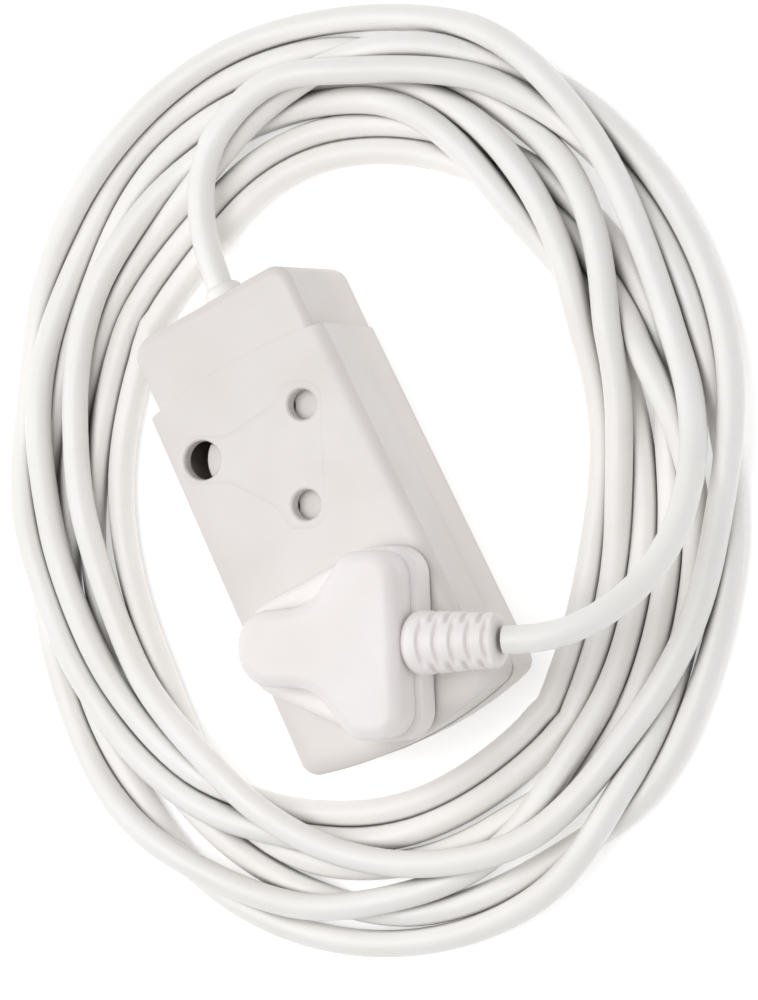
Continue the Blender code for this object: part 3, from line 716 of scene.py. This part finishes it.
def round_seam(cover):
    """Small lip along the cover's upper end."""
    weights = cover.data.attributes.new("bevel_weight_edge", "FLOAT", "EDGE")
    for edge in cover.data.edges:
        spots = [cover.data.vertices[v].co / MM for v in edge.vertices]
        on_seam = all(abs(spot.y - seam_y(spot.x)) < 0.01 for spot in spots)
        low = any(spot.z < COVER_Z0 + 1 for spot in spots)
        across = abs(spots[0].x - spots[1].x) > 0.01 or abs(spots[0].z - spots[1].z) > 0.01
        weights.data[edge.index].value = 1.0 if on_seam and across and not low else 0.0
    apply_modifier(cover, "BEVEL", width=SEAM_ROUND * MM, segments=4, limit_method="WEIGHT")


def make_cover():
    """Hollow main cover with a raised trefoil pad and three holes at each socket."""
    inset, drop = SHOULDER
    low = COVER_Z0 - COVER_SKIRT
    rings = draft(dome_rings(body_outline, low, FACE_Z, inset, drop, 0.12, 14, 2.6))
    cover = loft("cover_shell", rings, "housing_white")
    boolean(cover, seam_cutter(SEAM_Y + 20))
    round_seam(cover)
    room = draft([[(x, y, z) for x, y in body_outline(WALL)] for z in (COVER_Z0 - 3, FACE_Z - PLATE)])
    boolean(cover, loft("room", room))
    for socket in (0, 1):
        pad = [[(x, y, FACE_Z + rise) for x, y in placed_outline(PAD_CORNERS, socket, inset)]
               for rise, inset in PAD_PROFILE]
        boolean(cover, loft("pad", pad), "UNION")
    for socket in (0, 1):
        for a, b, radius in ((0, PIN_HALF_PITCH, POWER_HOLE_R), (0, -PIN_HALF_PITCH, POWER_HOLE_R),
                             (-EARTH_REACH, 0, EARTH_HOLE_R)):
            boolean(cover, flared_hole(*socket_place(socket, a, b), radius, HOLE_DEPTH))
    smooth(cover)
    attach(cover, "coupler")
    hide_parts("socket_cover")


def make_cap():
    """Lower cap over the cord's anchorage, wider at its foot."""
    w = CAP_TOP_HALF_W
    corners = ((w, SEAM_Y - 12, 0.5), (w, CAP_END_Y, CAP_CORNER_R), (-w, CAP_END_Y, CAP_CORNER_R),
               (-w, SEAM_Y - 12, 0.5))
    inset, drop = CAP_SHOULDER
    rings = dome_rings(lambda moved: ring_outline(corners, moved), 0, CAP_TOP_Z, inset, drop, 0.5, 8)
    wider = CAP_FOOT_HALF_W / w - 1
    rings = [[(x * (1 + wider * (1 - z / CAP_TOP_Z)), y, z) for x, y, z in ring] for ring in rings]
    cap = loft("cap_shell", rings, "housing_white")
    boolean(cap, seam_cutter(SEAM_Y - 30))
    room_low = (CAP_WALL - w, SEAM_Y - 5, FLOOR)
    boolean(cap, block("room", room_low, (w - CAP_WALL, CAP_END_Y - CAP_WALL, CAP_TOP_Z - CAP_WALL)))
    smooth(cap)
    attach(cap, "coupler")
    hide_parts("cord_end_cap")


def make_collar():
    """Short soft collar where the cord enters the cap, narrowing a little outward."""
    root, mouth = COLLAR_R
    round_y = COLLAR_END_Y - COLLAR_ROUND
    spots = [(CAP_END_Y - 1.5, root), (CAP_END_Y + 0.6, root), (round_y, mouth)]
    for k in range(1, 6):
        angle = math.pi / 2 * k / 5
        spots.append((round_y + COLLAR_ROUND * math.sin(angle), mouth - 1.3 * (1 - math.cos(angle))))
    rings = [[(x, y, CORD_Z + z) for x, z in circle(r, COLLAR_SIDES)] for y, r in spots]
    collar = loft("cord_collar", rings, "cord_white")
    smooth(collar)
    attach(collar, "coupler")
    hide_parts("cord_grommet")


def make_shutter_ramp():
    """Slope of the closed shutter that the earth pin pushes on, seen in the earth hole."""
    rings = []
    for z in np.linspace(*RAMP_Z, 8):
        front = RAMP_FRONT - RAMP_SLOPE * (RAMP_Z[1] - z)
        ring = [(RAMP_BACK, -RAMP_HALF_W), (RAMP_BACK, RAMP_HALF_W)]
        for k in range(17):
            across = RAMP_HALF_W * (1 - 2 * k / 16)
            ring.append((front + RAMP_BOW * (across / RAMP_HALF_W) ** 2, across))
        rings.append([(*socket_place(0, a, b), z) for a, b in ring])
    ramp = loft("shutter_ramp", rings, "shutter_white")
    apply_modifier(ramp, "BEVEL", width=0.4 * MM, segments=3, limit_method="ANGLE",
                   angle_limit=math.radians(50))
    smooth(ramp)
    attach(ramp, "upper_shutter")


def make_spring():
    """Spring behind the free shutter, made at one fixed length; the real one shortens as the shutter
    slides.
    """
    length = SPRING_SPAN[1] - SPRING_SPAN[0]
    points = []
    count = SPRING_TURNS * 16
    for k in range(count + 1):
        t = math.tau * k / 16
        x, y = socket_place(0, SPRING_SPAN[0] + length * k / count, SPRING_R * math.cos(t))
        points.append((x, y, SPRING_Z + SPRING_R * math.sin(t)))
    spring = curve_to_mesh(tube_curve("shutter_return_spring", points, SPRING_WIRE_R))
    spring.data.materials.append(MATERIALS["screw_steel"])
    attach(spring, "coupler")
    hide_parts("shutter_spring_1")
    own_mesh(spring)


# ---------------------------------------------------------------- plug

def make_plug_block(name, corners, z_low, z_top, inset, drop, cad_node):
    rings = dome_rings(lambda moved: placed_outline(corners, 1, moved), z_low, z_top, inset, drop, 0.4, 9)
    part = loft(name, rings, "plug_white")
    smooth(part)
    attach(part, "plug")
    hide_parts(cad_node)
    return part


def boot_radius(along, angle):
    """Radius of the boot: a domed root, a slow taper and slots in turn above and at the sides."""
    start, end = BOOT_SPAN
    root = start + BOOT_ROOT
    if along < root:
        lift = (root - along) / (root - start)
        return 1.6 + (BOOT_R[0] - 1.2) * math.sqrt(max(0.0, 1 - lift * lift))
    share = (along - root) / (end - root)
    radius = BOOT_R[0] + 0.4 + (BOOT_R[1] - BOOT_R[0] - 0.4) * share
    if along > end - BOOT_RIM:
        radius -= BOOT_RIM - math.sqrt(max(0.0, BOOT_RIM ** 2 - (along - end + BOOT_RIM) ** 2))
    for k in range(2 * BOOT_SLOTS):
        middle = root + 1.4 + BOOT_PITCH * k / 2
        facing = math.cos(2 * angle) * (1 if k % 2 else -1)
        bow = 0.5 * (1 - abs(facing))
        gap = (along - middle - bow) / SLOT_HALF_W
        radius -= SLOT_DEPTH * math.exp(-gap ** 4) * max(0.0, min(1.0, facing * 2.2 + 0.5))
    return radius


def make_boot():
    start, end = BOOT_SPAN
    rings = []
    count = 150
    for i in range(count + 1):
        along = start + (end - start) * i / count
        ring = []
        for k in range(72):
            angle = math.tau * k / 72
            r = boot_radius(along, angle)
            x, y = socket_place(1, along, r * math.cos(angle))
            ring.append((x, y, BOOT_Z + r * math.sin(angle)))
        rings.append(ring)
    boot = loft("cord_boot", rings, "plug_white")
    smooth(boot, 50)
    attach(boot, "plug")
    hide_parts("plug_boot")
    return boot


def make_plug():
    base = make_plug_block("plug_flange", PLUG_BASE_CORNERS, PLUG_SEAT_Z, PLUG_STEP_Z, 1.8, 1.6,
                           "plug_base")
    top = make_plug_block("plug_body", PLUG_TOP_CORNERS, PLUG_STEP_Z - 0.3, PLUG_TOP_Z, 3.8, 3.6,
                          "plug_cover")
    pins = [NODES["plug_%s_pin" % pole] for pole in ("live", "neutral", "earth")]
    return [base, top, make_boot()] + pins


# ---------------------------------------------------------------- stage

def floor_material():
    mat = bpy.data.materials.new("floor_white")
    mat.use_nodes = True
    shader = mat.node_tree.nodes["Principled BSDF"]
    shader.inputs["Base Color"].default_value = (0.92, 0.92, 0.92, 1)
    shader.inputs["Roughness"].default_value = 0.9
    shader.inputs["Emission Color"].default_value = (1, 1, 1, 1)
    shader.inputs["Emission Strength"].default_value = FLOOR_GLOW
    return mat


def add_stage():
    bm = bmesh.new()
    bmesh.ops.create_grid(bm, x_segments=1, y_segments=1, size=3.0)
    mesh = bpy.data.meshes.new("floor")
    bm.to_mesh(mesh)
    bm.free()
    floor = bpy.data.objects.new("floor", mesh)
    bpy.context.scene.collection.objects.link(floor)
    floor.data.materials.append(floor_material())
    world = bpy.data.worlds.new("studio")
    world.use_nodes = True
    background = world.node_tree.nodes["Background"]
    background.inputs["Color"].default_value = (1, 1, 1, 1)
    background.inputs["Strength"].default_value = WORLD_STRENGTH
    bpy.context.scene.world = world
    bpy.context.scene.view_settings.view_transform = "Standard"


def add_light(name, place, size, power):
    data = bpy.data.lights.new(name, "AREA")
    data.size = size
    data.energy = power
    light = bpy.data.objects.new(name, data)
    bpy.context.scene.collection.objects.link(light)
    light.location = place
    light.rotation_euler = (-Vector(place)).to_track_quat("-Z", "Y").to_euler()


add_camera()
dress_nodes()
make_cover()
make_cap()
make_collar()
make_shutter_ramp()
make_spring()
add_cords(make_plug())
add_stage()
for light in LIGHTS:
    add_light(*light)
